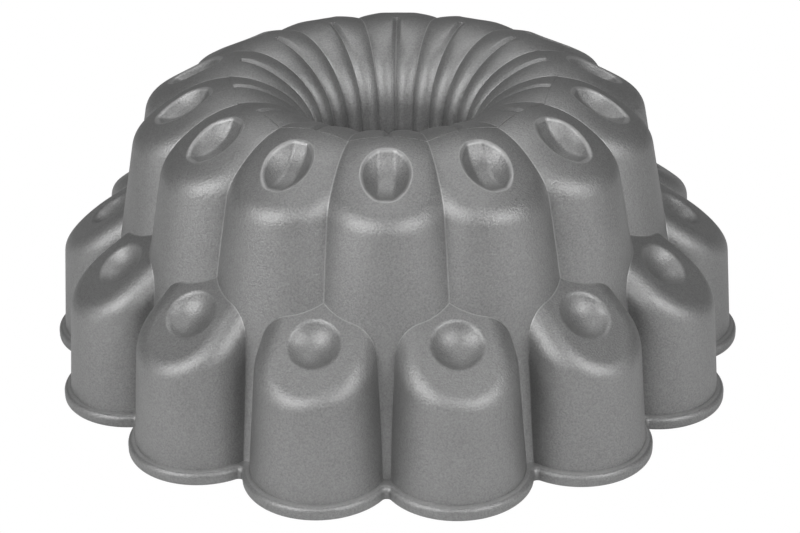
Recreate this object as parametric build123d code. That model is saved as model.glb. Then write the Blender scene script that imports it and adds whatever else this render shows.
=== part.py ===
from build123d import *
import math
import os
from dataclasses import dataclass

# Fluted ring cake pan with two tiers of lobes, resting upside down on its rim.

os.makedirs("parts", exist_ok=True)

# Layout
lobe_count = 14
crown_height = 107.4
crown_r = 58.3
rim_outer_r = 131.0

# Metal and coats
wall_thickness = 3.6
finish_thickness = 0.3
lining_thickness = 0.3

# Upper tier columns, measured on the crest line of one column
column_foot_r = 112.3
column_axis_r = 72.4
column_draft = 10.9
shoulder_slope = 30.0
corner_radius = 11.0
crown_radius = 36.0
crown_arc_radius = 50.0

# Centre tube
bore_mouth_radius = 30.0
bore_draft = 6.8
tube_tip_z = 3.0
flute_tangent_share = 0.7
flute_fullness = 1.15
flute_margin = 0.4
flute_step = 0.25
groove_allowance = 1.8
crown_drop = 2.8

# Lower tier lobes
lobe_axis_r = 104.6
lobe_foot_radius = 24.3
lobe_draft = 5.0
lobe_shoulder_slope = 33.5
lobe_peak_z = 62.5
lobe_peak_r = 92.6
lobe_corner_radius = 8.5

# Rim bead
bead_height = 5.0
bead_top_round = 2.2
bead_foot_round = 1.2
cusp_round = 1.4

# Dimples
disc_radius = 14.5
disc_width = 17.2
disc_edge_round = 5.7
disc_depth = 5.6
disc_centre_r = 76.1
bowl_radius = 11.4
bowl_depth = 4.2
bowl_centre_r = 106.7

# Working allowances
overlap = 1.0
half_pitch = math.pi / lobe_count
side_tan = math.tan(half_pitch)
lobe_angle = math.degrees(half_pitch)
front_angle = 90.0
bead_radius = rim_outer_r - lobe_axis_r
plane_tolerance = 1e-4
side_share = 1.2
tip_cut_r = 0.75 * crown_r


@dataclass(frozen=True)
class Station:
    """One cross-section of the upper tier: arc centre, arc radius and the tilt of its plane."""

    r: float
    z: float
    tilt: float
    radius: float

    def lift(self, along, across):
        """Point at the given distances along the tilted normal and across the sector."""
        x = self.r + along * math.cos(self.tilt)
        z = self.z + along * math.sin(self.tilt)
        return Vector(x, across, z)


def lerp(a, b, t):
    return a + (b - a) * t


def smooth(t):
    return t * t * (3 - 2 * t)


def spread(start, stop, count):
    """Evenly spaced values after start, up to and including stop."""
    return [lerp(start, stop, (i + 1) / count) for i in range(count)]


def crown_arcs(inset, start_r, low, high):
    """Upright arcs over one lobe, from outside the wall inward to start_r on the crown."""
    slope = math.radians(shoulder_slope)
    radius = crown_radius - inset
    centre_z = crown_height - crown_radius
    tangent_r = crown_r + radius * math.sin(slope)
    tangent_z = centre_z + radius * math.cos(slope)
    reach = crown_arc_radius - inset
    lines = []
    for r in [column_foot_r] + spread(column_foot_r, tangent_r, 3):
        lines.append((r, tangent_z - (r - tangent_r) * math.tan(slope)))
    for r in spread(tangent_r, start_r, 5):
        lines.append((r, centre_z + math.sqrt(radius**2 - (r - crown_r) ** 2)))
    stations = [Station(r, z - reach, math.pi / 2, reach) for r, z in lines]
    return [single_arc(station, low, high) for station in stations]


def drafted_block(axis_r, radii, heights, start_r):
    """Tapered upright block, round on its outer side and straight towards the centre."""
    sections = []
    for z, radius in zip(heights, radii):
        left = Vector(axis_r, -radius, z)
        right = Vector(axis_r, radius, z)
        nose = Vector(axis_r + radius, 0, z)
        back_left = Vector(start_r, -radius, z)
        back_right = Vector(start_r, radius, z)
        sections.append(
            Wire(
                [
                    Edge.make_line(back_left, left),
                    Edge.make_three_point_arc(left, nose, right),
                    Edge.make_line(right, back_right),
                    Edge.make_line(back_right, back_left),
                ]
            )
        )
    return Solid.make_loft(sections, ruled=True)


def block_radii(foot_radius, draft, inset, heights):
    """Side radii of a drafted block at two heights, for a side moved inward by the inset."""
    draft = math.radians(draft)
    shrink = inset / math.cos(draft)
    return [foot_radius - z * math.tan(draft) - shrink for z in heights]


def column_ring(inset, foot_z, start_r):
    """Upper tier lobe outside the crown line, with its outer corner rounded."""
    half_width = side_share * column_foot_r * side_tan
    sides = ((0.0, -half_width), (0.0, half_width))
    under = solid_under(crown_arcs(inset, start_r, *sides), foot_z, *sides)
    heights = (foot_z, crown_height)
    radii = block_radii(column_foot_r - column_axis_r, column_draft, inset, heights)
    body = under & drafted_block(column_axis_r, radii, heights, start_r - overlap)
    corner = [
        edge
        for edge in body.edges()
        if edge.center().Z > crown_height / 2
        and edge.bounding_box().size.Z < crown_height / 3
        and not lies_on(edge, Vector(1, 0, 0), start_r)
    ]
    return fillet(corner, corner_radius - inset)


def bore_stations(foot_z):
    """Crest points of the bore wall, from just inside the crown down to the foot."""
    end_tilt = math.pi - math.radians(bore_draft)
    centre_z = crown_height - bore_mouth_radius
    out = []
    for tilt in spread(math.pi / 2, end_tilt, 10)[:-1]:
        r = crown_r + bore_mouth_radius * math.cos(tilt)
        z = centre_z + bore_mouth_radius * math.sin(tilt)
        out.append(Station(r, z, tilt, 0.0))
    top_r = crown_r + bore_mouth_radius * math.cos(end_tilt)
    top_z = centre_z + bore_mouth_radius * math.sin(end_tilt)
    taper = math.tan(math.radians(bore_draft))
    for z in (top_z, foot_z):
        out.append(Station(top_r - (top_z - z) * taper, z, math.pi, 0.0))
    return out


def bore_share(station):
    """How far a bore station is turned from the crown (0) to the tube wall (1)."""
    quarter = math.pi / 2
    return min((station.tilt - quarter) / (quarter - math.radians(bore_draft)), 1.0)


def arc_through(station, along, across, radius, low, high):
    """Arc of one station between two upright planes y = x * k + m given as (k, m)."""
    ends = []
    for slope, shift in (low, high):
        nx = math.cos(station.tilt)
        base = station.r * slope + shift - across
        a = 1 + (nx * slope) ** 2
        b = 2 * base * nx * slope - 2 * along
        c = along**2 + base**2 - radius**2
        reach = (-b + math.sqrt(max(b * b - 4 * a * c, 0.0))) / (2 * a)
        side = (station.r + reach * nx) * slope + shift
        ends.append(math.atan2(side - across, reach - along))
    angles = (ends[0], (ends[0] + ends[1]) / 2, ends[1])
    points = [
        station.lift(along + radius * math.cos(a), across + radius * math.sin(a)) for a in angles
    ]
    return Wire([Edge.make_three_point_arc(*points)])


def single_arc(station, low, high):
    return arc_through(station, 0.0, 0.0, station.radius, low, high)


def flute_arc(station, blend, inset, low, high):
    """Arc of one narrow flute, half a lobe wide; it starts inside the lobe's own arc."""
    width = station.r * side_tan
    lobe_tilt = math.asin(min(flute_tangent_share * width / crown_arc_radius, 1.0))
    wide = width
    wide_y = (crown_arc_radius - wide) * math.sin(lobe_tilt)
    wide_w = (crown_arc_radius - wide) * math.cos(lobe_tilt) - crown_arc_radius
    half = half_pitch / 2
    share = flute_fullness * math.sin(half)
    tight = (share * station.r + flute_margin) / (1 - share)
    tight_y = (station.r + tight) * math.sin(half)
    tight_w = station.r - (station.r + tight) * math.cos(half)
    t = smooth(blend)
    along = lerp(wide_w - flute_step, tight_w, t)
    across = lerp(wide_y, tight_y, t)
    return arc_through(station, along, across, lerp(wide, tight, t) - inset, low, high)


def lies_on(shape_edge, normal, level):
    spots = [shape_edge.position_at(t) for t in (0.0, 0.5, 1.0)]
    return all(abs(spot.dot(normal) - level) < plane_tolerance for spot in spots)


def solid_under(arcs, foot_z, low, high, last=None):
    """Solid between a lofted skin and the plane z = foot_z, closed by upright planes.

    The skin is smooth through the arcs, then straight from the last of them to the arc last.
    """
    skin = Shell.make_loft(arcs)
    faces = list(skin.faces())
    edges = list(skin.edges())
    if last:
        straight = Shell.make_loft([arcs[-1], last], ruled=True)
        faces += straight.faces()
        edges += straight.edges()
    ends = [arcs[0].edges()[0], (last or arcs[-1]).edges()[0]]
    foot_corners = []
    for slope, shift in (low, high):
        normal = Vector(-slope, 1, 0).normalized()
        level = shift * normal.Y
        rail = [e for e in edges if lies_on(e, normal, level)]
        tips = [min(e.vertices(), key=lambda v: abs(Vector(v).dot(normal) - level)) for e in ends]
        drops = [Vector(v) for v in tips]
        feet = [Vector(p.X, p.Y, foot_z) for p in drops]
        lines = [
            Edge.make_line(drop, foot)
            for drop, foot in zip(drops, feet)
            if (drop - foot).length > plane_tolerance
        ]
        lines.append(Edge.make_line(feet[0], feet[1]))
        faces.append(Face(Wire(rail + lines)))
        foot_corners.append(feet)
    foot_edges = [Edge.make_line(*[Vector(p) for p in side]) for side in foot_corners]
    for index, edge in enumerate(ends):
        if lies_on(edge, Vector(0, 0, 1), foot_z):
            foot_edges.append(edge)
        else:
            near, far = foot_corners[0][index], foot_corners[1][index]
            base = Edge.make_line(near, far)
            foot_edges.append(base)
            posts = []
            for foot in (near, far):
                top = min(edge.vertices(), key=lambda v: (v.X - foot.X) ** 2 + (v.Y - foot.Y) ** 2)
                posts.append(Edge.make_line(foot, Vector(top)))
            faces.append(Face(Wire([edge, base] + posts)))
    faces.append(Face(Wire(foot_edges)))
    return Solid(Shell(faces))


def flute_block(inset, start_r):
    """Half sector of the fluted bore wall, from the crown line down to the tube tip."""
    sides = ((0.0, 0.0), (side_tan, 0.0))
    first = Station(start_r, crown_height, math.pi / 2, 0.0)
    flutes = [flute_arc(first, 0.0, inset, *sides)]
    for station in bore_stations(tube_tip_z):
        flutes.append(flute_arc(station, bore_share(station), inset, *sides))
    return solid_under(flutes[:-1], tube_tip_z, *sides, last=flutes[-1])


def tube_core(inset, foot_z):
    """Plain turned space around the centre tube, clear of the flutes by the inset."""
    centre_z = crown_height - bore_mouth_radius
    draft = math.radians(bore_draft)
    outer_r = crown_r / math.cos(half_pitch) + overlap

    def spot(tilt, allowance):
        radius = bore_mouth_radius - inset - allowance
        return Vector(crown_r + radius * math.cos(tilt), 0, centre_z + radius * math.sin(tilt))

    top = spot(math.pi / 2, crown_drop)
    middle = spot((math.pi * 1.5 - draft) / 2, (crown_drop + groove_allowance) / 2)
    low = spot(math.pi - draft, groove_allowance)
    tip = Vector(low.X - (low.Z - tube_tip_z) * math.tan(draft), 0, tube_tip_z)
    corners = [
        low,
        tip,
        Vector(tip_cut_r, 0, tube_tip_z),
        Vector(tip_cut_r, 0, foot_z),
        Vector(outer_r, 0, foot_z),
        Vector(outer_r, 0, top.Z),
        top,
    ]
    edges = [Edge.make_line(a, b) for a, b in zip(corners, corners[1:])]
    edges.append(Edge.make_three_point_arc(top, middle, low))
    return revolve(Face(Wire(edges)), Axis.Z)


def inner_ring(inset):
    """Space under the upper tier, running past both side planes."""
    start_r = crown_r + inset - wall_thickness + lining_thickness
    column = column_ring(inset, -overlap, start_r) & half_sector(overlap)
    return column + (tube_core(inset, -overlap) & half_sector(overlap / 2))


def lower_lobe(inset, foot_z):
    """One lobe of the lower tier on the +X axis, turned to its place between two columns."""
    heights = (foot_z, lobe_peak_z + lobe_foot_radius)
    radii = block_radii(lobe_foot_radius, lobe_draft, inset, heights)
    start_r = lobe_peak_r - lobe_corner_radius
    block = drafted_block(lobe_axis_r, radii, heights, start_r)
    tilt = math.radians(lobe_shoulder_slope)
    up = Vector(math.sin(tilt), 0, math.cos(tilt))
    origin = Vector(lobe_peak_r, 0, lobe_peak_z) - up * inset
    reach = 4 * lobe_foot_radius
    above = Plane(origin=origin, z_dir=up) * Box(
        2 * reach, reach, reach, align=(Align.CENTER, Align.CENTER, Align.MIN)
    )
    lobe = block - above
    rim = [
        e
        for e in lobe.edges()
        if lies_on(e, up, origin.dot(up)) and not lies_on(e, Vector(1, 0, 0), start_r)
    ]
    lobe = fillet(rim, lobe_corner_radius - inset)
    return lobe.rotate(Axis.Z, lobe_angle)


def bead(inset):
    """Half sector of the flat rim flange with its rounded outer bead."""
    radius = bead_radius - inset
    axis = Vector(lobe_axis_r, 0, 0).rotate(Axis.Z, lobe_angle)
    reach = bead_radius + cusp_round
    cusp_x = axis.X + math.sqrt(reach**2 - axis.Y**2)
    cusp = Vector(cusp_x, 0, 0)
    concave = cusp_round + inset
    outer = Vector(rim_outer_r - inset, 0, 0).rotate(Axis.Z, lobe_angle)
    touch = axis + (cusp - axis).normalized() * radius
    to_outer = (outer - axis).normalized()
    to_touch = (touch - axis).normalized()
    middle = axis + (to_outer + to_touch).normalized() * radius
    inner_point = cusp - Vector(concave, 0, 0)
    to_inner = Vector(-1, 0, 0)
    back = (touch - cusp).normalized()
    cusp_middle = cusp + (to_inner + back).normalized() * concave
    root = Vector(column_axis_r, 0, 0)
    root_side = root.rotate(Axis.Z, lobe_angle)
    outline = Wire(
        [
            Edge.make_three_point_arc(outer, middle, touch),
            Edge.make_three_point_arc(touch, cusp_middle, inner_point),
            Edge.make_line(inner_point, root),
            Edge.make_line(root, root_side),
            Edge.make_line(root_side, outer),
        ]
    )
    height = bead_height - inset
    block = Solid.extrude(Face(outline), Vector(0, 0, height))
    curved = [e for e in block.edges() if e.geom_type == GeomType.CIRCLE]
    top = [e for e in curved if e.center().Z > height - plane_tolerance]
    block = fillet(top, bead_top_round - inset)
    curved = [e for e in block.edges() if e.geom_type == GeomType.CIRCLE]
    foot = [e for e in curved if lies_on(e, Vector(0, 0, 1), 0.0)]
    return fillet(foot, bead_foot_round)


def dimple_tools(inset):
    """Disc that cuts the upper dimple and ball that cuts the lower one."""
    tilt = math.radians(90.0 - shoulder_slope)
    up = Vector(math.cos(tilt), 0, math.sin(tilt))
    tangent_r = crown_r + crown_radius * up.X
    tangent_z = crown_height - crown_radius + crown_radius * up.Z
    fall = (disc_centre_r - tangent_r) * math.tan(math.radians(shoulder_slope))
    spot = Vector(disc_centre_r, 0, tangent_z - fall)
    centre = spot + up * (disc_radius - disc_depth)
    disc = Cylinder(disc_radius + inset, disc_width + 2 * inset)
    disc = fillet(disc.edges().filter_by(GeomType.CIRCLE), disc_edge_round + inset)
    disc = Location(centre) * Rot(90, 0, 0) * disc
    tilt = math.radians(90.0 - lobe_shoulder_slope)
    up = Vector(math.cos(tilt), 0, math.sin(tilt))
    fall = (bowl_centre_r - lobe_peak_r) * math.tan(math.radians(lobe_shoulder_slope))
    spot = Vector(bowl_centre_r, 0, lobe_peak_z - fall)
    centre = (spot + up * (bowl_radius - bowl_depth)).rotate(Axis.Z, lobe_angle)
    ball = Location(centre) * Sphere(bowl_radius + inset)
    return [disc, ball]


def half_sector(margin, floor_z=-2 * crown_height):
    """Upright wedge that holds half of one lobe pitch, wider by a margin on both sides."""
    reach = 2 * rim_outer_r
    far = Vector(reach, 0, 0).rotate(Axis.Z, lobe_angle)
    out = Vector(0, margin, 0).rotate(Axis.Z, lobe_angle)
    drop = Vector(0, margin, 0)
    corners = [-drop, Vector(reach, 0, 0) - drop, far + out, out]
    if not margin:
        corners = corners[:3]
    outline = Polyline(*corners, close=True)
    base = Face(Wire(outline.edges())).moved(Pos(0, 0, floor_z))
    return Solid.extrude(base, Vector(0, 0, 4 * crown_height))


@dataclass
class Skin:
    """Faces of one half sector body, sorted by where they lie."""

    shown: list
    foot: list
    tip: list
    crown: list


def sort_faces(body, crown_x):
    """Skin faces and flat faces at the rim, the tube tip and the crown line; sides left out."""
    normals = [Vector(0, 1, 0), Vector(0, 1, 0).rotate(Axis.Z, lobe_angle)]
    skin = Skin([], [], [], [])
    for face in body.faces():
        edges = face.edges()
        if any(all(lies_on(e, n, 0.0) for e in edges) for n in normals):
            continue
        if all(lies_on(e, Vector(0, 0, 1), 0.0) for e in edges):
            skin.foot.append(face)
        elif all(lies_on(e, Vector(0, 0, 1), tube_tip_z) for e in edges):
            skin.tip.append(face)
        elif all(lies_on(e, Vector(1, 0, 0), crown_x) for e in edges):
            skin.crown.append(face)
        elif face.bounding_box().max.Z > tube_tip_z + overlap or face.center().X > crown_r:
            skin.shown.append(face)
    return skin


def flat_between(outer, inner):
    """Flat faces of the outer set not covered by those of the inner one."""
    out = []
    for face in outer:
        rest = [face]
        for other in inner:
            rest = [piece for old in rest for piece in (old - other).faces()]
        out += rest
    return out


def outer_skin(inset, wedge):
    """Skin of the pan as seen from outside, moved inward by the inset."""
    start_r = crown_r + inset
    body = (column_ring(inset, 0.0, start_r) & wedge) + (lower_lobe(inset, 0.0) & wedge)
    body += bead(inset)
    for tool in dimple_tools(inset):
        body -= tool
    skin = sort_faces(body, start_r)
    flutes = sort_faces(flute_block(inset, start_r), start_r)
    facets = flat_between(skin.crown, flutes.crown)
    skin.shown += flutes.shown + [f for f in facets if f.center().Z > crown_height / 2]
    disc = Face(Wire.make_circle(tip_cut_r, Plane(origin=(0, 0, tube_tip_z))))
    skin.tip = [piece for face in flutes.tip for piece in (face & disc).faces()]
    return skin


def inner_skin(inset, trim):
    """Skin of the space under the pan for a wall of the given thickness."""
    body = inner_ring(inset) + lower_lobe(inset, -overlap)
    for tool in dimple_tools(inset):
        body -= tool
    skin = sort_faces(body & trim, crown_r)
    skin.shown += skin.crown
    return skin


def whole_ring(outer, inner):
    """Closed layer between two skins, mirrored and repeated around the axis."""
    half = outer.shown + inner.shown
    feet = flat_between(outer.foot, inner.foot)
    half += [face for face in feet if face.center().X > column_axis_r]
    half += flat_between(outer.tip, inner.tip)
    pair = half + [face.mirror(Plane.XZ) for face in half]
    faces = []
    for i in range(lobe_count):
        faces += [face.rotate(Axis.Z, 2 * lobe_angle * i - front_angle) for face in pair]
    return Solid(Shell(faces))


def build():
    wedge = half_sector(0.0)
    trim = half_sector(0.0, 0.0)
    skins = [
        outer_skin(0.0, wedge),
        outer_skin(finish_thickness, wedge),
        inner_skin(wall_thickness - lining_thickness, trim),
        inner_skin(wall_thickness, trim),
    ]
    names = ["outer_finish", "cast_shell", "nonstick_lining"]
    for i, name in enumerate(names):
        export_step(whole_ring(skins[i], skins[i + 1]), "parts/" + name + ".step")


if __name__ == "__main__":
    build()
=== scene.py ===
import logging
import math
from collections.abc import Callable, Sequence
from dataclasses import dataclass
from enum import Enum

import bmesh
import bpy
import numpy as np
from mathutils import Matrix, Vector


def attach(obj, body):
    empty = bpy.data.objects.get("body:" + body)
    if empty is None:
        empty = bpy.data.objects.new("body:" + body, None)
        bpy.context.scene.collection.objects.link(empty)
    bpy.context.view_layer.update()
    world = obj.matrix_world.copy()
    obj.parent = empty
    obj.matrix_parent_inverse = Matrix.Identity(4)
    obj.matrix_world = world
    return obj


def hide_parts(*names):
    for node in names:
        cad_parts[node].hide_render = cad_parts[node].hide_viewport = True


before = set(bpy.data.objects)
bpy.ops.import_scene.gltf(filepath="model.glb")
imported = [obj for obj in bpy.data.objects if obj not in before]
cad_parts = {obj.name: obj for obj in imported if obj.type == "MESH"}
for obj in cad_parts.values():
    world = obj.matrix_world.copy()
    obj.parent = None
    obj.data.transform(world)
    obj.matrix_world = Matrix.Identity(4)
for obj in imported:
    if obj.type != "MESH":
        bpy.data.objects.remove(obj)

log = logging.getLogger("scene")

Array = np.ndarray
Triple = tuple[float, float, float]

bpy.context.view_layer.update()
MM = 0.001
QUARTER_TURN = math.pi / 2
FRONT = -QUARTER_TURN

# Shared by the skins, in millimetres: the last row beside a seam, and the depth inside a
# neighbour from which a face is left out.
SEAM_ROW = 0.12
BURIED_DEPTH = 1.1

# In metres: depth of the skins, distances at which points are welded, and how near a point is
# taken to lie on a cut. Then the angle in degrees from which an edge is sharp.
COAT = 0.0002
PATCH_WELD = 2e-6
RING_WELD = 5e-6
ON_CUT = 1e-6
SHARP_ANGLE = 32.0


@dataclass(frozen=True)
class Pan:
    """The pan's sizes in millimetres and degrees, as the solids have them."""

    lobes: int = 14
    crown_z: float = 107.4
    crown_r: float = 58.3
    crown_radius: float = 36.0
    crown_arc: float = 50.0
    shoulder_slope: float = 30.0
    rim_r: float = 131.0
    rim_axis_r: float = 104.6
    bore_mouth: float = 30.0
    bore_draft: float = 6.8
    tip_z: float = 3.0
    bead_z: float = 5.0
    bead_top_round: float = 2.2
    bead_foot_round: float = 1.2
    cusp_round: float = 1.4

    @property
    def half(self) -> float:
        """Half the pitch of the lobes, in radians."""
        return math.pi / self.lobes


PAN = Pan()


@dataclass(frozen=True)
class Dimple:
    """A rounded cutter that sinks a dimple into a lobe's top.

    A dimple with no half width is a ball. Any other is a disc whose floor strip has flanks that
    rise at wall_slope and steepen to rim_slope at the half width.
    """

    centre_r: float
    radius: float
    depth: float
    half_width: float = 0.0
    floor_half: float = 2.7
    wall_slope: float = 36.0
    rim_slope: float = 72.0
    flank_round: float = 2.0
    floor_round: float = 0.4


@dataclass(frozen=True)
class Groove:
    """The narrow groove that splits a lobe's crown into two flutes, and how far it runs on."""

    depth: float = 1.3
    half_width: float = 1.7
    reach: float = 0.55


@dataclass(frozen=True)
class HighlightLine:
    """The painted highlight line along a seam or a dimple's rim, in millimetres: a lighter tone
    standing in for light caught by the small fillets there.

    It is full up to near and gone at far. Beside a rim, distance counts only past rim_offset and
    only by rim_share, so the line is wider there.
    """

    near: float = 0.12
    far: float = 0.42
    rim_offset: float = 0.35
    rim_share: float = 0.5


GROOVE = Groove()
HIGHLIGHT_LINE = HighlightLine()


def arc_height(radius: float, offset: Array) -> Array:
    """Height of a circle over its centre at an offset; it stays real past the circle's end."""
    return np.sqrt(np.maximum(radius**2 - offset**2, 1.0))


def eased(share: float) -> float:
    """A share from 0 to 1 with a soft start and end."""
    return share * share * (3 - 2 * share)


def both(a: Array, b: Array, r: float) -> Array:
    """Value of the overlap of two forms, with the corner between them rounded."""
    corner = np.hypot(np.maximum(a + r, 0.0), np.maximum(b + r, 0.0))
    return np.minimum(-r, np.maximum(a, b)) + corner


def turned(p: Array, angle: float) -> Array:
    """Points turned about the pan's axis."""
    c, s = math.cos(angle), math.sin(angle)
    return np.stack([c * p[..., 0] - s * p[..., 1], s * p[..., 0] + c * p[..., 1], p[..., 2]], -1)


def beside(distance: Callable[[Array], Array], p: Array) -> Array:
    """Smaller distance of points from the two forms half a pitch to either side of them."""
    return np.minimum(distance(turned(p, PAN.half)), distance(turned(p, -PAN.half)))


def last_inside(inside: Callable[[Array], Array], high: Array, halvings: int = 50) -> Array:
    """Largest values from 0 to high at which a test still holds, found by halving.

    Args:
        inside: the test, true at 0 and false from some value on.
        high: values at which the test no longer holds.
        halvings: how often the way is halved.

    Returns:
        The values.
    """
    low = np.zeros(len(high))
    for _ in range(halvings):
        middle = (low + high) / 2
        hit = inside(middle)
        low = np.where(hit, middle, low)
        high = np.where(hit, high, middle)
    return (low + high) / 2


@dataclass(frozen=True)
class Lobe:
    """An upright drafted block on the +X axis, round on its outer side, with a dimpled top."""

    axis_r: float
    foot_radius: float
    draft: float
    corner: float
    inner_x: float
    low_z: float
    dimple: Dimple

    def height(self, x: Array, y: Array) -> Array:
        """Height of the top over a place, which each tier gives by itself."""
        raise NotImplementedError

    def normal(self, x: Array, y: Array) -> Array:
        """Unit normals of the top.

        Args:
            x: places outward.
            y: places across.

        Returns:
            A normal for each place.
        """
        step = 1e-3
        fx = (self.height(x + step, y) - self.height(x - step, y)) / (2 * step)
        fy = (self.height(x, y + step) - self.height(x, y - step)) / (2 * step)
        n = np.stack([-fx, -fy, np.ones_like(fx)], -1)
        return n / np.linalg.norm(n, axis=-1, keepdims=True)

    def side_radius(self, z: Array) -> Array:
        """Radius of the side at a height."""
        return self.foot_radius - z * math.tan(math.radians(self.draft))

    def side_distance(self, p: Array) -> Array:
        """Signed distance of points from the side, less than zero inside."""
        out = np.hypot(np.maximum(p[..., 0] - self.axis_r, 0.0), p[..., 1])
        return (out - self.side_radius(p[..., 2])) * math.cos(math.radians(self.draft))

    def top_distance(self, p: Array) -> Array:
        """Signed distance of points from the top without its dimple, less than zero inside."""
        x, y, z = p[:, 0], p[:, 1], p[:, 2]
        return (z - self.height(x, y)) * self.normal(x, y)[:, 2]

    def distance(self, p: Array) -> Array:
        """Signed distance of points from the whole block, less than zero inside."""
        return np.maximum(self.side_distance(p), self.top_distance(p))

    def cutter_distance(self, p: Array) -> Array:
        """Signed distance of points from the dimple's cutter.

        Args:
            p: the points.

        Returns:
            A distance for each point, less than zero inside.
        """
        d = self.dimple
        x = np.array([d.centre_r])
        y = np.zeros(1)
        n = self.normal(x, y)[0]
        centre = np.array([d.centre_r, 0.0, self.height(x, y)[0]]) + n * (d.radius - d.depth)
        q = p - centre
        if not d.half_width:
            return np.linalg.norm(q, axis=-1) - d.radius
        deep = np.hypot(q[..., 0], q[..., 2]) - d.radius
        wide = np.abs(q[..., 1])
        low, steep = math.radians(d.wall_slope), math.radians(d.rim_slope)
        flank = (wide - d.floor_half) * math.sin(low) + deep * math.cos(low)
        wall = (wide - d.half_width) * math.sin(steep) + (deep + d.depth) * math.cos(steep)
        return both(deep, both(flank, wall, d.flank_round), d.floor_round)

    def rim_distance(self, p: Array) -> Array:
        """Distance of points from the dimple's rim, narrowed to the width of a seam, for the painted
        highlight along the rim.
        """
        gap = np.hypot(self.cutter_distance(p), self.top_distance(p))
        return np.maximum(gap - HIGHLIGHT_LINE.rim_offset, 0.0) * HIGHLIGHT_LINE.rim_share

    def dimpled_top(self, p: Array, edge_round: float) -> Array:
        """Value of the top with its dimple, the rim rounded; zero on the surface."""
        return both(self.top_distance(p), -self.cutter_distance(p), edge_round)

    def drawn_to_top(self, p: Array, edge_round: float) -> Array:
        """Points moved one step towards the dimpled top.

        Args:
            p: the points.
            edge_round: radius of the dimple's rim.

        Returns:
            The moved points.
        """
        step = 1e-4
        least_slope = 0.2
        slopes = []
        for shift in np.eye(3) * step:
            rise = self.dimpled_top(p + shift, edge_round) - self.dimpled_top(p - shift, edge_round)
            slopes.append(rise / (2 * step))
        slopes = np.stack(slopes, -1)
        size = np.maximum(np.linalg.norm(slopes, axis=-1, keepdims=True), least_slope)
        return p - self.dimpled_top(p, edge_round)[:, None] * slopes / size**2


@dataclass(frozen=True)
class Column(Lobe):
    """A tall lobe of the upper tier, whose top curves over to the bore."""

    def height(self, x: Array, y: Array) -> Array:
        """Height of the crown and of the sloping shoulder outside it.

        Args:
            x: places outward.
            y: places across.

        Returns:
            A height for each place.
        """
        slope = math.radians(PAN.shoulder_slope)
        centre = PAN.crown_z - PAN.crown_radius
        tangent_r = PAN.crown_r + PAN.crown_radius * math.sin(slope)
        tangent_z = centre + PAN.crown_radius * math.cos(slope)
        line = tangent_z - (x - tangent_r) * math.tan(slope)
        arc = centre + arc_height(PAN.crown_radius, x - PAN.crown_r)
        crest = np.where(x > tangent_r, line, arc)
        return crest - PAN.crown_arc + arc_height(PAN.crown_arc, y)


@dataclass(frozen=True)
class LowerLobe(Lobe):
    """A short lobe of the lower tier, whose top is a flat sloping shoulder."""

    slope: float = 33.5
    peak_r: float = 92.6
    peak_z: float = 62.5

    def height(self, x: Array, y: Array) -> Array:
        """Height of the shoulder, which is level across the lobe."""
        return self.peak_z - (x - self.peak_r) * math.tan(math.radians(self.slope))


COLUMN = Column(
    axis_r=72.4,
    foot_radius=39.9,
    draft=10.9,
    corner=11.0,
    inner_x=PAN.crown_r,
    low_z=3.5,
    dimple=Dimple(centre_r=76.1, radius=14.5, depth=5.6, half_width=8.7),
)
LOWER = LowerLobe(
    axis_r=PAN.rim_axis_r,
    foot_radius=24.3,
    draft=5.0,
    corner=8.5,
    inner_x=84.0,
    low_z=3.5,
    dimple=Dimple(centre_r=106.7, radius=11.4, depth=4.2),
)


class Patch:
    """Vertices and faces of one sector's skin, gathered grid by grid, in millimetres."""

    def __init__(self) -> None:
        """Start with nothing."""
        self.points: list[Array] = []
        self.faces: list[tuple[int, ...]] = []
        self.count = 0

    def grid(self, rows: Sequence[Array] | Array, closed: bool = False) -> None:
        """Add a grid of quads.

        Args:
            rows: rows of points, all of the same length.
            closed: join the last column to the first.
        """
        rows = np.asarray(rows)
        n, m = rows.shape[:2]
        base = self.count
        self.points.append(rows.reshape(-1, 3))
        self.count += n * m
        last = m if closed else m - 1
        for i in range(n - 1):
            for j in range(last):
                k = (j + 1) % m
                a, b = base + i * m + j, base + i * m + k
                self.faces.append((a, b, b + m, a + m))

    def mesh(
        self,
        name: str,
        cuts: Sequence[tuple[Triple, Triple]],
        buried: Callable[[Array], Array],
        crease: Callable[[Array], Array],
    ) -> bpy.types.Mesh:
        """Weld the grids to one mesh.

        Args:
            name: name of the mesh.
            cuts: planes as a place and a normal; what lies on the normal's side goes.
            buried: tells which points are hidden, so that faces with no other point go.
            crease: distance of points from the nearest seam, kept for the material's painted
                highlight along the seams.

        Returns:
            The mesh, in metres.
        """
        points = np.concatenate(self.points)
        gone = buried(points)
        work = bmesh.new()
        verts = [work.verts.new(p * MM) for p in points]
        for face in self.faces:
            if not all(gone[i] for i in face):
                work.faces.new([verts[i] for i in face])
        bmesh.ops.remove_doubles(work, verts=work.verts[:], dist=PATCH_WELD)
        for place, normal in cuts:
            bmesh.ops.bisect_plane(
                work,
                geom=work.verts[:] + work.edges[:] + work.faces[:],
                plane_co=place,
                plane_no=normal,
                clear_outer=True,
                dist=ON_CUT,
            )
        loose = [v for v in work.verts if not v.link_faces]
        bmesh.ops.delete(work, geom=loose, context="VERTS")
        bmesh.ops.recalc_face_normals(work, faces=work.faces[:])
        mesh = bpy.data.meshes.new(name)
        work.to_mesh(mesh)
        work.free()
        at = np.array([v.co for v in mesh.vertices]) / MM
        mesh.attributes.new("crease", "FLOAT", "POINT").data.foreach_set("value", crease(at))
        return mesh


class Socket(Enum):
    """Kinds of sockets on the node groups."""

    SHAPE = "NodeSocketGeometry"
    COUNT = "NodeSocketInt"
    NUMBER = "NodeSocketFloat"
    VECTOR = "NodeSocketVector"
    MATERIAL = "NodeSocketMaterial"


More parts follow.
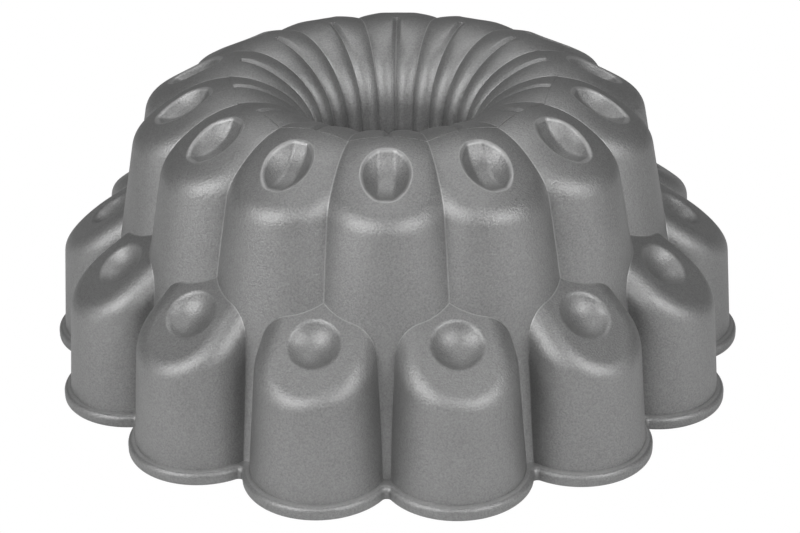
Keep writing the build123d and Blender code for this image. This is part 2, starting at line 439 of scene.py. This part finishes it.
class NodeTree:
    """A node tree that is emptied, then filled by short calls."""

    def __init__(self, tree: bpy.types.NodeTree) -> None:
        """Take a tree and empty it."""
        self.tree = tree
        tree.nodes.clear()

    def takes(self, name: str, kind: Socket, value: float | None = None) -> None:
        """Give the group an input.

        Args:
            name: name of the socket.
            kind: its kind.
            value: its default, for a number or a count.
        """
        socket = self.tree.interface.new_socket(name, in_out="INPUT", socket_type=kind.value)
        if value is not None:
            socket.default_value = value

    def gives(self, name: str, kind: Socket) -> None:
        """Give the group an output."""
        self.tree.interface.new_socket(name, in_out="OUTPUT", socket_type=kind.value)

    def add(self, kind: str, inputs: dict | None = None, **settings: object) -> bpy.types.Node:
        """Add a node.

        Args:
            kind: type name of the node.
            inputs: values of its sockets, by name or number.
            settings: values of its own properties.

        Returns:
            The node.
        """
        node = self.tree.nodes.new(kind)
        for name, value in settings.items():
            setattr(node, name, value)
        for key, value in (inputs or {}).items():
            node.inputs[key].default_value = value
        return node

    def link(
        self,
        source: bpy.types.Node,
        target: bpy.types.Node,
        out: str | int = 0,
        into: str | int = 0,
    ) -> None:
        """Link an output to an input, each by name or number."""
        self.tree.links.new(source.outputs[out], target.inputs[into])


def ring_group() -> bpy.types.NodeTree:
    """Geometry node group that repeats one sector around the pan's axis.

    Returns:
        The group.
    """
    t = NodeTree(bpy.data.node_groups.new("ring_of_sectors", "GeometryNodeTree"))
    t.takes("Geometry", Socket.SHAPE)
    t.takes("Count", Socket.COUNT, PAN.lobes)
    t.takes("Phase", Socket.NUMBER, 0.0)
    t.takes("Weld distance", Socket.NUMBER, RING_WELD)
    t.takes("Material", Socket.MATERIAL)
    t.gives("Geometry", Socket.SHAPE)
    start = t.add("NodeGroupInput")
    end = t.add("NodeGroupOutput")
    points = t.add("GeometryNodePoints")
    index = t.add("GeometryNodeInputIndex")
    pitch = t.add("ShaderNodeMath", {0: 2 * math.pi}, operation="DIVIDE", label="pitch")
    angle = t.add("ShaderNodeMath", operation="MULTIPLY_ADD", label="angle of this sector")
    spin = t.add("ShaderNodeCombineXYZ")
    place = t.add("GeometryNodeInstanceOnPoints")
    real = t.add("GeometryNodeRealizeInstances")
    merge = t.add("GeometryNodeMergeByDistance")
    paint = t.add("GeometryNodeSetMaterial")
    t.link(start, points, "Count", "Count")
    t.link(start, pitch, "Count", 1)
    t.link(index, angle, 0, 0)
    t.link(pitch, angle, 0, 1)
    t.link(start, angle, "Phase", 2)
    t.link(angle, spin, 0, "Z")
    t.link(points, place, 0, "Points")
    t.link(start, place, "Geometry", "Instance")
    t.link(spin, place, 0, "Rotation")
    t.link(place, real)
    t.link(real, merge, 0, "Geometry")
    t.link(start, merge, "Weld distance", "Distance")
    t.link(merge, paint, 0, "Geometry")
    t.link(start, paint, "Material", "Material")
    t.link(paint, end)
    return t.tree


@dataclass(frozen=True, kw_only=True)
class Skin:
    """One visible skin of the coat, made for one sector and repeated around the pan's axis."""

    name: str
    first_turn: float = FRONT

    def patch(self) -> Patch:
        """Grids of one sector about the +X axis."""
        raise NotImplementedError

    def crease(self, points: Array) -> Array:
        """Distance of points from the nearest seam."""
        raise NotImplementedError

    def buried(self, points: Array) -> Array:
        """Which points lie deep inside a neighbour; here none."""
        return np.zeros(len(points), dtype=bool)

    def cuts(self) -> list[tuple[Triple, Triple]]:
        """Planes that cut the sector off; here none."""
        return []

    def build(self, ring: bpy.types.NodeTree, coat: bpy.types.Material) -> bpy.types.Object:
        """Build the skin around the whole pan and hand it to the frame.

        Args:
            ring: the group that repeats a sector.
            coat: material of the skin.

        Returns:
            The finished object, a plain mesh at the origin.
        """
        sector = self.patch().mesh(self.name, self.cuts(), self.buried, self.crease)
        base = bpy.data.objects.new(self.name + "_base", sector)
        bpy.context.scene.collection.objects.link(base)
        repeat = base.modifiers.new("ring", "NODES")
        repeat.node_group = ring
        ids = {s.name: s.identifier for s in ring.interface.items_tree if s.in_out == "INPUT"}
        repeat[ids["Count"]] = PAN.lobes
        repeat[ids["Phase"]] = self.first_turn
        repeat[ids["Weld distance"]] = RING_WELD
        repeat[ids["Material"]] = coat
        depth = base.modifiers.new("skin", "SOLIDIFY")
        depth.thickness = COAT
        depth.offset = -1.0
        depth.use_even_offset = False
        bpy.context.view_layer.update()
        graph = bpy.context.evaluated_depsgraph_get()
        mesh = bpy.data.meshes.new_from_object(base.evaluated_get(graph))
        bpy.data.objects.remove(base)
        mesh.name = self.name
        for vertex in mesh.vertices:
            vertex.co.z = min(vertex.co.z, PAN.crown_z * MM)
        piece = bpy.data.objects.new(self.name, mesh)
        bpy.context.scene.collection.objects.link(piece)
        mesh.polygons.foreach_set("use_smooth", [True] * len(mesh.polygons))
        mesh.set_sharp_from_angle(angle=math.radians(SHARP_ANGLE))
        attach(piece, "root")
        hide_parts("outer_finish")
        return piece


@dataclass(frozen=True, kw_only=True)
class LobeSkin(Skin):
    """Skin of one tier: the dimple, top, rounded corner and side of each lobe.

    The columns of the grids run along the two straight sides, the bend between them and the back,
    the open inner end. The rows run from the dimple's centre to the foot.
    """

    lobe: Lobe
    straight: int = 12
    bend: int = 44
    back: int = 16
    corner_rows: int = 11
    side_rows: int = 12
    dimple_rows: int = 16
    innermost: float = 0.004
    outermost: float = 0.998
    depth_reach: float = 1.6
    rim_rows: int = 5
    rim_band: float = 0.9
    rim_crowding: float = 1.3
    top_rows: int = 7
    edge_round: float = 0.8
    edge_passes: int = 6
    corner_passes: int = 200
    corner_pace: float = 0.6

    def patch(self) -> Patch:
        """Grids of the rounded corner, the side and the top.

        Returns:
            The filled patch.
        """
        patch = Patch()
        corner, side = self.corner_and_side()
        patch.grid(corner)
        patch.grid(side)
        patch.grid(self.dimpled_rows(corner[0]), closed=True)
        return patch

    def corner_and_side(self) -> tuple[list[Array], list[Array]]:
        """Rows around the lobe, from its top's edge over the rounded corner and down the side.

        The corner is the path of a ball that touches both the top and the side.

        Returns:
            The rows of the corner and the rows of the side.
        """
        lobe = self.lobe
        draft = math.radians(lobe.draft)
        xs = np.linspace(lobe.inner_x, lobe.axis_r, self.straight, endpoint=False)
        bend = np.linspace(QUARTER_TURN, -QUARTER_TURN, self.bend)
        axis_x = np.concatenate([xs, np.full(self.bend, lobe.axis_r), xs[::-1]])
        out_x = np.concatenate([0 * xs, np.cos(bend), 0 * xs])
        out_y = np.concatenate([0 * xs + 1, np.sin(bend), 0 * xs - 1])
        count = len(axis_x)

        def around(z: Array, inset: float = 0.0) -> Array:
            """Points of the side at given heights, moved inward."""
            reach = lobe.side_radius(z) - inset
            return np.stack([axis_x + reach * out_x, reach * out_y, z], -1)

        outward = (out_x * math.cos(draft), out_y * math.cos(draft), np.full(count, math.sin(draft)))
        side_n = np.stack(outward, -1)
        top_n = np.tile([0.0, 0.0, 1.0], (count, 1))
        z = np.full(count, lobe.low_z + lobe.foot_radius)
        for _ in range(self.corner_passes):
            centre = around(z, lobe.corner / math.cos(draft))
            touch = centre + lobe.corner * top_n
            top_n = lobe.normal(touch[:, 0], touch[:, 1])
            touch = centre + lobe.corner * top_n
            z = z + self.corner_pace * (lobe.height(touch[:, 0], touch[:, 1]) - touch[:, 2])
        angle = np.arccos(np.clip((top_n * side_n).sum(-1), -1, 1))[:, None]
        corner = []
        for t in np.linspace(0, 1, self.corner_rows):
            v = (np.sin((1 - t) * angle) * top_n + np.sin(t * angle) * side_n) / np.sin(angle)
            corner.append(centre + lobe.corner * v)
        foot_z = corner[-1][:, 2]
        steps = np.linspace(0, 1, self.side_rows)
        return corner, [around(foot_z + (lobe.low_z - foot_z) * t) for t in steps]

    def dimpled_rows(self, edge: Array) -> Array:
        """Closed rows of the top, from the dimple's centre out to the edge.

        Args:
            edge: points where the top meets the rounded corner.

        Returns:
            The rows, drawn to the top's form with its rim rounded.
        """
        lobe = self.lobe
        line = np.linspace(0, 1, self.back + 1)[1:-1, None]
        closing = edge[-1] + (edge[0] - edge[-1]) * line
        centre = np.array([lobe.dimple.centre_r, 0.0])
        ray = np.concatenate([edge, closing])[:, :2] - centre
        length = np.linalg.norm(ray, axis=-1)
        down = lobe.normal(centre[:1], centre[1:])[0]
        deepest = np.full(len(ray), lobe.dimple.depth * self.depth_reach)

        def on_top(share: Array) -> Array:
            """Points of the top without its dimple, at shares of the rays."""
            xy = centre + ray * share[:, None]
            return np.stack([xy[:, 0], xy[:, 1], lobe.height(xy[:, 0], xy[:, 1])], -1)

        def sunk(start: Array) -> Array:
            """Points of the top lowered to the dimple's floor.

            Args:
                start: points of the top.

            Returns:
                The lowered points.
            """

            def inside(depth: Array) -> Array:
                """Whether the points at these depths are inside the cutter."""
                return lobe.cutter_distance(start - down * depth[:, None]) < 0

            return start - down * last_inside(inside, deepest)[:, None]

        def within(share: Array) -> Array:
            """Whether the points at these shares of the rays are inside the cutter."""
            return lobe.cutter_distance(on_top(share)) < 0

        rim = last_inside(within, np.ones(len(ray)))
        band = self.rim_band / length
        count = self.dimple_rows
        shares = [math.sin(QUARTER_TURN * k / count) for k in range(1, count)]
        rows = [sunk(on_top(rim * s)) for s in [self.innermost, *shares, self.outermost]]
        for k in range(self.rim_rows + 1):
            rows.append(on_top(rim + band * (k / self.rim_rows) ** self.rim_crowding))
        for k in range(1, self.top_rows):
            rows.append(on_top((rim + band) + (1 - rim - band) * k / self.top_rows))
        rows.append(on_top(1 - SEAM_ROW / length))
        rows.append(on_top(np.ones(len(ray))))
        rows = np.array(rows)
        for _ in range(self.edge_passes):
            free = rows[:-1].reshape(-1, 3)
            rows[:-1] = lobe.drawn_to_top(free, self.edge_round).reshape(rows[:-1].shape)
        return rows


@dataclass(frozen=True, kw_only=True)
class UpperTier(LobeSkin):
    """The fourteen tall columns, each cut off at the planes half way to its neighbours."""

    name: str = "upper_tier_skin"
    lobe: Lobe = COLUMN
    bend: int = 40
    back: int = 30

    def crease(self, points: Array) -> Array:
        """Distance of points from the seam beside the next column and from the dimple's rim."""
        seam = points[:, 0] * math.sin(PAN.half) - np.abs(points[:, 1]) * math.cos(PAN.half)
        return np.minimum(seam, self.lobe.rim_distance(points))

    def buried(self, points: Array) -> Array:
        """Which points lie well inside a lower lobe beside the column."""
        return beside(LOWER.distance, points) < -BURIED_DEPTH

    def cuts(self) -> list[tuple[Triple, Triple]]:
        """The two planes that bound one sector."""
        s, c = math.sin(PAN.half), math.cos(PAN.half)
        return [((0, 0, 0), (-s, c, 0)), ((0, 0, 0), (-s, -c, 0))]


@dataclass(frozen=True, kw_only=True)
class LowerTier(LobeSkin):
    """The fourteen short lobes that stand half a pitch round from the columns."""

    name: str = "lower_tier_skin"
    first_turn: float = FRONT + PAN.half
    lobe: Lobe = LOWER

    def crease(self, points: Array) -> Array:
        """Signed distance of points from the columns beside the lobe."""
        return beside(COLUMN.side_distance, points)

    def buried(self, points: Array) -> Array:
        """Which points lie well inside a column beside the lobe."""
        return self.crease(points) < -BURIED_DEPTH


@dataclass(frozen=True, kw_only=True)
class Bore(Skin):
    """The fluted bore, with the flat facets where its flutes start at the crown line.

    A flute starts as half of a lobe's own arc beside a narrow groove and turns into a round rib
    towards the tube.
    """

    name: str = "bore_skin"
    turn_rows: int = 33
    tube_rows: int = 15
    facet_rows: int = 4
    columns: int = 30
    column_crowding: float = 1.25
    tangent_share: float = 0.7
    step: float = 0.25
    fullness: float = 1.15
    margin: float = 0.4

    def stations(self) -> list[tuple[float, float, float, float]]:
        """Places of the flutes' rows, from the crown line to the tube's tip.

        Returns:
            Radius, height, tilt and share of the turn of each row.
        """
        end = math.pi - math.radians(PAN.bore_draft)
        centre_z = PAN.crown_z - PAN.bore_mouth
        stations = [(PAN.crown_r, PAN.crown_z, QUARTER_TURN, 0.0)]
        first = QUARTER_TURN + SEAM_ROW / PAN.bore_mouth
        for tilt in [first, *np.linspace(QUARTER_TURN, end, self.turn_rows)[1:]]:
            r = PAN.crown_r + PAN.bore_mouth * math.cos(tilt)
            z = centre_z + PAN.bore_mouth * math.sin(tilt)
            stations.append((r, z, tilt, (tilt - QUARTER_TURN) / (end - QUARTER_TURN)))
        r0, z0 = stations[-1][:2]
        slope = math.tan(math.radians(PAN.bore_draft))
        for z in np.linspace(z0, PAN.tip_z, self.tube_rows)[1:]:
            stations.append((r0 - (z0 - z) * slope, z, math.pi, 1.0))
        return stations

    def crown_drop(self, y: Array) -> Array:
        """How far a lobe's own arc falls below its crest, with the groove that splits it."""
        arc = PAN.crown_arc - arc_height(PAN.crown_arc, y)
        return arc + GROOVE.depth * np.maximum(0.0, 1.0 - np.abs(y) / GROOVE.half_width)

    def rib_circle(self, r: float, share: float) -> tuple[float, float, float]:
        """Circle that a flute's section follows at a station.

        Args:
            r: radius of the station.
            share: share of the turn, from wide at 0 to tight at 1.

        Returns:
            The circle's centre, out of the surface and across it, and its radius.
        """
        half = PAN.half
        width = r * math.tan(half)
        lean = math.asin(min(self.tangent_share * width / PAN.crown_arc, 1.0))
        wide_y = (PAN.crown_arc - width) * math.sin(lean)
        wide_w = (PAN.crown_arc - width) * math.cos(lean) - PAN.crown_arc - self.step
        part = self.fullness * math.sin(half / 2)
        tight = (part * r + self.margin) / (1 - part)
        tight_y = (r + tight) * math.sin(half / 2)
        tight_w = r - (r + tight) * math.cos(half / 2)
        t = eased(share)
        return (
            wide_w + (tight_w - wide_w) * t,
            wide_y + (tight_y - wide_y) * t,
            width + (tight - width) * t,
        )

    def row(self, r: float, z: float, tilt: float, share: float) -> Array:
        """Points over half a lobe at one station.

        Args:
            r: radius of the station.
            z: its height.
            tilt: which way the surface faces, a quarter turn for up and a half for the axis.
            share: share of the turn.

        Returns:
            The points, from the groove to the sector's plane.
        """
        tan = math.tan(PAN.half)
        w0, y0, radius = self.rib_circle(r, share)
        out_x = math.cos(tilt)
        ends = []
        for slope in (0.0, tan):
            base = r * slope - y0
            qa = 1 + (out_x * slope) ** 2
            qb = 2 * base * out_x * slope - 2 * w0
            qc = w0**2 + base**2 - radius**2
            reach = (-qb + math.sqrt(max(qb * qb - 4 * qa * qc, 0.0))) / (2 * qa)
            ends.append(math.atan2((r + reach * out_x) * slope - y0, reach - w0))
        spread = np.linspace(0.0, 1.0, self.columns) ** self.column_crowding
        a = ends[0] + (ends[1] - ends[0]) * spread
        y = y0 + radius * np.sin(a)
        rib = eased(min(share / GROOVE.reach, 1.0))
        w = -self.crown_drop(y) * (1 - rib) + (w0 + radius * np.cos(a)) * rib
        y = y * (r + w[-1] * out_x) * tan / y[-1]
        return np.stack([r + w * out_x, y, z + w * math.sin(tilt)], -1)

    def patch(self) -> Patch:
        """Grids of the flutes and of the facets above their start.

        Returns:
            The filled patch.
        """
        rows = np.array([self.row(*station) for station in self.stations()])
        start = rows[0]
        y = start[:, 1]
        x = np.full(len(y), PAN.crown_r)
        lid = np.stack([x, y, COLUMN.height(x, y)], -1)
        facet = np.array([lid + (start - lid) * t for t in np.linspace(0, 1, self.facet_rows)])
        patch = Patch()
        for flip in (1.0, -1.0):
            patch.grid(rows * [1, flip, 1])
            patch.grid(facet * [1, flip, 1])
        return patch

    def crease(self, points: Array) -> Array:
        """Distance of points from the planes between the flutes.

        Args:
            points: the points.

        Returns:
            A distance for each point.
        """
        angle = np.arctan2(np.abs(points[:, 1]), points[:, 0])
        r = np.hypot(points[:, 0], points[:, 1])
        return r * np.sin(np.minimum(angle, np.abs(PAN.half - angle)))


@dataclass(frozen=True, kw_only=True)
class RimBead(Skin):
    """The rounded bead around the scalloped rim, made over one pitch with its cusp on +X."""

    name: str = "rim_bead_skin"
    inner_offset: float = 9.0
    flat_offset: float = 6.0
    tuck: float = 0.02
    flat_rows: int = 8
    top_rows: int = 10
    foot_rows: int = 7
    lobe_columns: int = 40
    cusp_columns: int = 8

    def outline(self) -> tuple[Array, Array]:
        """Outline of half a scallop and half of the cusp's round.

        Returns:
            The outline's points and their outward normals.
        """
        radius = PAN.rim_r - PAN.rim_axis_r
        axis = np.array([math.cos(PAN.half), math.sin(PAN.half)]) * PAN.rim_axis_r
        reach = radius + PAN.cusp_round
        cusp = np.array([axis[0] + math.sqrt(reach**2 - axis[1] ** 2), 0.0])
        last = math.atan2(*(cusp - axis)[::-1])
        back = math.atan2(*(axis - cusp)[::-1])
        scallop = np.linspace(PAN.half, last, self.lobe_columns)
        hollow = np.linspace(back, math.pi, self.cusp_columns)[1:]
        out = np.column_stack([np.cos(scallop), np.sin(scallop)])
        into = np.column_stack([np.cos(hollow), np.sin(hollow)])
        points = np.concatenate([axis + radius * out, cusp + PAN.cusp_round * into])
        return points, np.concatenate([out, -into])

    def profile(self) -> list[tuple[float, float]]:
        """Section of the bead, from its inner side over to its foot.

        Returns:
            Offset from the outline and height of each row.
        """
        top, foot = PAN.bead_top_round, PAN.bead_foot_round
        profile = [(-self.inner_offset, PAN.bead_z - self.tuck)]
        for x in np.linspace(-self.flat_offset, -top, self.flat_rows):
            profile.append((x, PAN.bead_z))
        for a in np.linspace(QUARTER_TURN, 0, self.top_rows)[1:]:
            profile.append((-top + top * math.cos(a), PAN.bead_z - top + top * math.sin(a)))
        for a in np.linspace(0, -QUARTER_TURN, self.foot_rows):
            profile.append((-foot + foot * math.cos(a), foot + foot * math.sin(a)))
        return profile

    def patch(self) -> Patch:
        """Grids of the bead on both sides of the cusp.

        Returns:
            The filled patch.
        """
        points, normals = self.outline()
        rows = []
        for offset, z in self.profile():
            rows.append(np.column_stack([points + normals * offset, np.full(len(points), z)]))
        patch = Patch()
        for flip in (1.0, -1.0):
            patch.grid(np.array(rows) * [1, flip, 1])
        return patch

    def crease(self, points: Array) -> Array:
        """Signed distance of points from where the walls rise out of the bead."""
        return points[:, 2] - PAN.bead_z


def grain_group() -> bpy.types.NodeTree:
    """Shader group that makes the fine pebbled bump and mottling of the coat.

    Returns:
        The group.
    """
    t = NodeTree(bpy.data.node_groups.new("coat_grain", "ShaderNodeTree"))
    t.takes("Grain scale", Socket.NUMBER, 1500.0)
    t.takes("Depth", Socket.NUMBER, 0.3)
    t.gives("Normal", Socket.VECTOR)
    t.gives("Mottle", Socket.NUMBER)
    start = t.add("NodeGroupInput")
    end = t.add("NodeGroupOutput")
    coord = t.add("ShaderNodeTexCoord")
    fine = t.add("ShaderNodeTexNoise", {"Detail": 3.0, "Roughness": 0.65})
    wide = t.add("ShaderNodeTexNoise", {"Scale": 45.0, "Detail": 4.0})
    bump = t.add("ShaderNodeBump", {"Distance": 0.00025})
    spots = t.add("ShaderNodeMapRange", {"From Min": 0.3, "From Max": 0.7})
    clouds = t.add("ShaderNodeMath", {1: 0.35}, operation="MULTIPLY", label="wide share")
    mottle = t.add("ShaderNodeMath", {1: 0.65}, operation="MULTIPLY_ADD", label="fine share")
    t.link(coord, fine, "Object", "Vector")
    t.link(coord, wide, "Object", "Vector")
    t.link(start, fine, "Grain scale", "Scale")
    t.link(start, bump, "Depth", "Strength")
    t.link(fine, bump, "Fac", "Height")
    t.link(wide, clouds, "Fac", 0)
    t.link(fine, spots, "Fac", "Value")
    t.link(spots, mottle, 0, 0)
    t.link(clouds, mottle, 0, 2)
    t.link(bump, end, "Normal", "Normal")
    t.link(mottle, end, 0, "Mottle")
    return t.tree


@dataclass(frozen=True)
class Finish:
    """One painted or bare metal surface, mottled between a darker and a lighter tone.

    Where the seam highlight share isn't zero, that share of a lighter tone is painted along the
    seams and dimple rims as a painted highlight, standing in for light caught by the small fillets
    there.
    """

    name: str
    base: Triple
    roughness: float
    metallic: float
    grain: float
    seam_highlight: float = 0.0
    dark_share: float = 0.72
    light_share: float = 1.3
    highlight_share: float = 2.0
    highlight_limit: float = 0.8
    rough_spread: float = 0.08

    def tone(self, share: float, limit: float = 1.0) -> tuple[float, ...]:
        """The base colour times a share, up to a limit, with full alpha."""
        return (*(min(c * share, limit) for c in self.base), 1.0)

    def material(self, grain: bpy.types.NodeTree) -> bpy.types.Material:
        """Build the finish's material.

        Args:
            grain: the grain group.

        Returns:
            The material.
        """
        # Numbers of a mix node's sockets when it mixes colours.
        mix_share, mix_a, mix_b, mix_out = 0, 6, 7, 2
        material = bpy.data.materials.new(self.name)
        material.use_nodes = True
        t = NodeTree(material.node_tree)
        out = t.add("ShaderNodeOutputMaterial")
        shader = t.add("ShaderNodeBsdfPrincipled", {"Metallic": self.metallic})
        group = t.add("ShaderNodeGroup", {"Depth": self.grain}, node_tree=grain)
        tones = {mix_a: self.tone(self.dark_share), mix_b: self.tone(self.light_share)}
        colour = t.add("ShaderNodeMix", tones, data_type="RGBA")
        smooth = self.roughness * (1 - self.rough_spread)
        coarse = self.roughness * (1 + self.rough_spread)
        rough = t.add("ShaderNodeMapRange", {"To Min": smooth, "To Max": coarse})
        t.link(group, colour, "Mottle", mix_share)
        t.link(group, rough, "Mottle", "Value")
        t.link(rough, shader, 0, "Roughness")
        # Painted highlight: a lighter tone mixed in where the crease distance is small, along seams
        # and dimple rims, standing in for light caught by the small fillets.
        if self.seam_highlight:
            highlight_crease = t.add("ShaderNodeAttribute", attribute_name="crease")
            size = t.add("ShaderNodeMath", operation="ABSOLUTE")
            fade = {
                "From Min": HIGHLIGHT_LINE.near,
                "From Max": HIGHLIGHT_LINE.far,
                "To Min": self.seam_highlight,
                "To Max": 0.0,
            }
            line = t.add("ShaderNodeMapRange", fade, interpolation_type="SMOOTHSTEP")
            seam = {mix_b: self.tone(self.highlight_share, self.highlight_limit)}
            highlight_mix = t.add("ShaderNodeMix", seam, data_type="RGBA")
            t.link(highlight_crease, size, "Fac", 0)
            t.link(size, line, 0, "Value")
            t.link(line, highlight_mix, 0, mix_share)
            t.link(colour, highlight_mix, mix_out, mix_a)
            colour = highlight_mix
        t.link(colour, shader, mix_out, "Base Color")
        t.link(group, shader, "Normal", "Normal")
        t.link(shader, out, "BSDF", "Surface")
        return material


@dataclass(frozen=True)
class Stage:
    """Pale floor and a world that are plain white to the camera, in metres.

    The floor is clear from below, so the pan's cake side can be looked at.
    """

    floor_half: float = 6.0
    floor_drop: float = 0.0004
    floor_tone: float = 0.85
    world_light: float = 0.1

    def floor_material(self) -> bpy.types.Material:
        """Material that is diffuse to the lights, white to the camera and clear from below.

        Returns:
            The material.
        """
        material = bpy.data.materials.new("floor")
        material.use_nodes = True
        t = NodeTree(material.node_tree)
        tone = self.floor_tone
        out = t.add("ShaderNodeOutputMaterial")
        mix = t.add("ShaderNodeMixShader")
        diffuse = t.add("ShaderNodeBsdfDiffuse", {"Color": (tone, tone, tone, 1.0)})
        glow = t.add("ShaderNodeEmission", {"Color": (1.0, 1.0, 1.0, 1.0)})
        path = t.add("ShaderNodeLightPath")
        side = t.add("ShaderNodeNewGeometry")
        clear = t.add("ShaderNodeBsdfTransparent")
        below = t.add("ShaderNodeMixShader")
        t.link(path, mix, "Is Camera Ray", 0)
        t.link(diffuse, mix, 0, 1)
        t.link(glow, mix, 0, 2)
        t.link(side, below, "Backfacing", 0)
        t.link(mix, below, 0, 1)
        t.link(clear, below, 0, 2)
        t.link(below, out, 0, "Surface")
        return material

    def add_floor(self) -> None:
        """Lay the floor just under the rim."""
        s = self.floor_half
        mesh = bpy.data.meshes.new("floor")
        mesh.from_pydata([(-s, -s, 0), (s, -s, 0), (s, s, 0), (-s, s, 0)], [], [(0, 1, 2, 3)])
        mesh.materials.append(self.floor_material())
        floor = bpy.data.objects.new("floor", mesh)
        floor.location.z = -self.floor_drop
        bpy.context.scene.collection.objects.link(floor)

    def add_world(self) -> None:
        """Soft light all round, white to the camera."""
        world = bpy.data.worlds.new("world")
        bpy.context.scene.world = world
        world.use_nodes = True
        t = NodeTree(world.node_tree)
        white = (1.0, 1.0, 1.0, 1.0)
        out = t.add("ShaderNodeOutputWorld")
        mix = t.add("ShaderNodeMixShader")
        soft = t.add("ShaderNodeBackground", {"Color": white, "Strength": self.world_light})
        seen = t.add("ShaderNodeBackground", {"Color": white})
        path = t.add("ShaderNodeLightPath")
        t.link(path, mix, "Is Camera Ray", 0)
        t.link(soft, mix, 0, 1)
        t.link(seen, mix, 0, 2)
        t.link(mix, out, 0, "Surface")


@dataclass(frozen=True)
class Shot:
    """Where the camera stands at the photograph's angle, in millimetres and degrees."""

    place: Triple = (22.2, -640.0, 360.8)
    yaw: float = -1.83
    pitch: float = 27.46
    roll: float = -0.759
    lens: float = 84.98
    sensor_width: float = 36.0
    clip_start: float = 10.0

    def add_camera(self) -> None:
        """Make the scene's camera."""
        yaw, pitch, roll = (math.radians(v) for v in (self.yaw, self.pitch, self.roll))
        ahead = (math.sin(yaw) * math.cos(pitch), math.cos(yaw) * math.cos(pitch), -math.sin(pitch))
        forward = Vector(ahead)
        right = Vector((math.cos(yaw), -math.sin(yaw), 0.0))
        up = right.cross(forward)
        side = right * math.cos(roll) + up * math.sin(roll)
        top = up * math.cos(roll) - right * math.sin(roll)
        data = bpy.data.cameras.new("camera")
        data.lens = self.lens
        data.sensor_width = self.sensor_width
        data.clip_start = self.clip_start * MM
        camera = bpy.data.objects.new("camera", data)
        turn = Matrix((side, top, -forward)).transposed().to_4x4()
        camera.matrix_world = Matrix.Translation(Vector(self.place) * MM) @ turn
        bpy.context.scene.collection.objects.link(camera)
        bpy.context.scene.camera = camera


@dataclass(frozen=True)
class SoftBox:
    """One soft light that points at the pan, in metres and watts."""

    name: str
    place: Triple
    width: float
    height: float
    power: float
    aim: Triple = (0.0, 0.0, 0.05)

    def add(self) -> None:
        """Hang the light."""
        data = bpy.data.lights.new(self.name, "AREA")
        data.shape = "RECTANGLE"
        data.size = self.width
        data.size_y = self.height
        data.energy = self.power
        light = bpy.data.objects.new(self.name, data)
        light.location = self.place
        way = Vector(self.aim) - Vector(self.place)
        light.rotation_euler = way.to_track_quat("-Z", "Y").to_euler()
        bpy.context.scene.collection.objects.link(light)


SKINS = (UpperTier(), LowerTier(), Bore(), RimBead())
FINISHES = {
    # The coat carries the painted highlight along its seams and dimple rims.
    "finish_metal": Finish("silver_coat", (0.34, 0.34, 0.34), 0.44, 0.7, 0.75, seam_highlight=0.4),
    "cast_metal": Finish("bare_casting", (0.62, 0.62, 0.63), 0.38, 1.0, 0.15),
    "lining_metal": Finish("lining_coat", (0.42, 0.42, 0.43), 0.45, 0.6, 0.25),
}
SOFT_BOXES = (
    SoftBox("key_left", (-0.7, -0.85, 0.8), 0.5, 0.45, 6.4),
    SoftBox("key_right", (0.7, -0.85, 0.8), 0.5, 0.45, 5.6),
    SoftBox("top", (0.0, 0.25, 1.2), 0.8, 0.8, 3.0),
    SoftBox("left", (-1.1, -0.7, 0.35), 0.4, 0.6, 1.6),
    SoftBox("right", (1.1, -0.6, 0.35), 0.4, 0.6, 1.1),
)


def dress_solids(materials: dict[str, bpy.types.Material]) -> None:
    """Give the casting and its lining their finishes.

    Args:
        materials: the finishes' materials, by slot.
    """
    for node, slot in (("cast_shell", "cast_metal"), ("nonstick_lining", "lining_metal")):
        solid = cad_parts[node]
        for place in solid.material_slots:
            place.material = materials[slot]
        log.info("%s: dressed in %s", node, materials[slot].name)


def main() -> None:
    """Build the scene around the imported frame."""
    logging.basicConfig(level=logging.INFO, format="%(name)s: %(message)s")
    grain = grain_group()
    materials = {slot: finish.material(grain) for slot, finish in FINISHES.items()}
    dress_solids(materials)
    ring = ring_group()
    for skin in SKINS:
        piece = skin.build(ring, materials["finish_metal"])
        log.info("%s: %d faces", piece.name, len(piece.data.polygons))
    stage = Stage()
    stage.add_floor()
    stage.add_world()
    Shot().add_camera()
    for box in SOFT_BOXES:
        box.add()
    bpy.context.scene.view_settings.view_transform = "Standard"


if __name__ == "__main__":
    main()
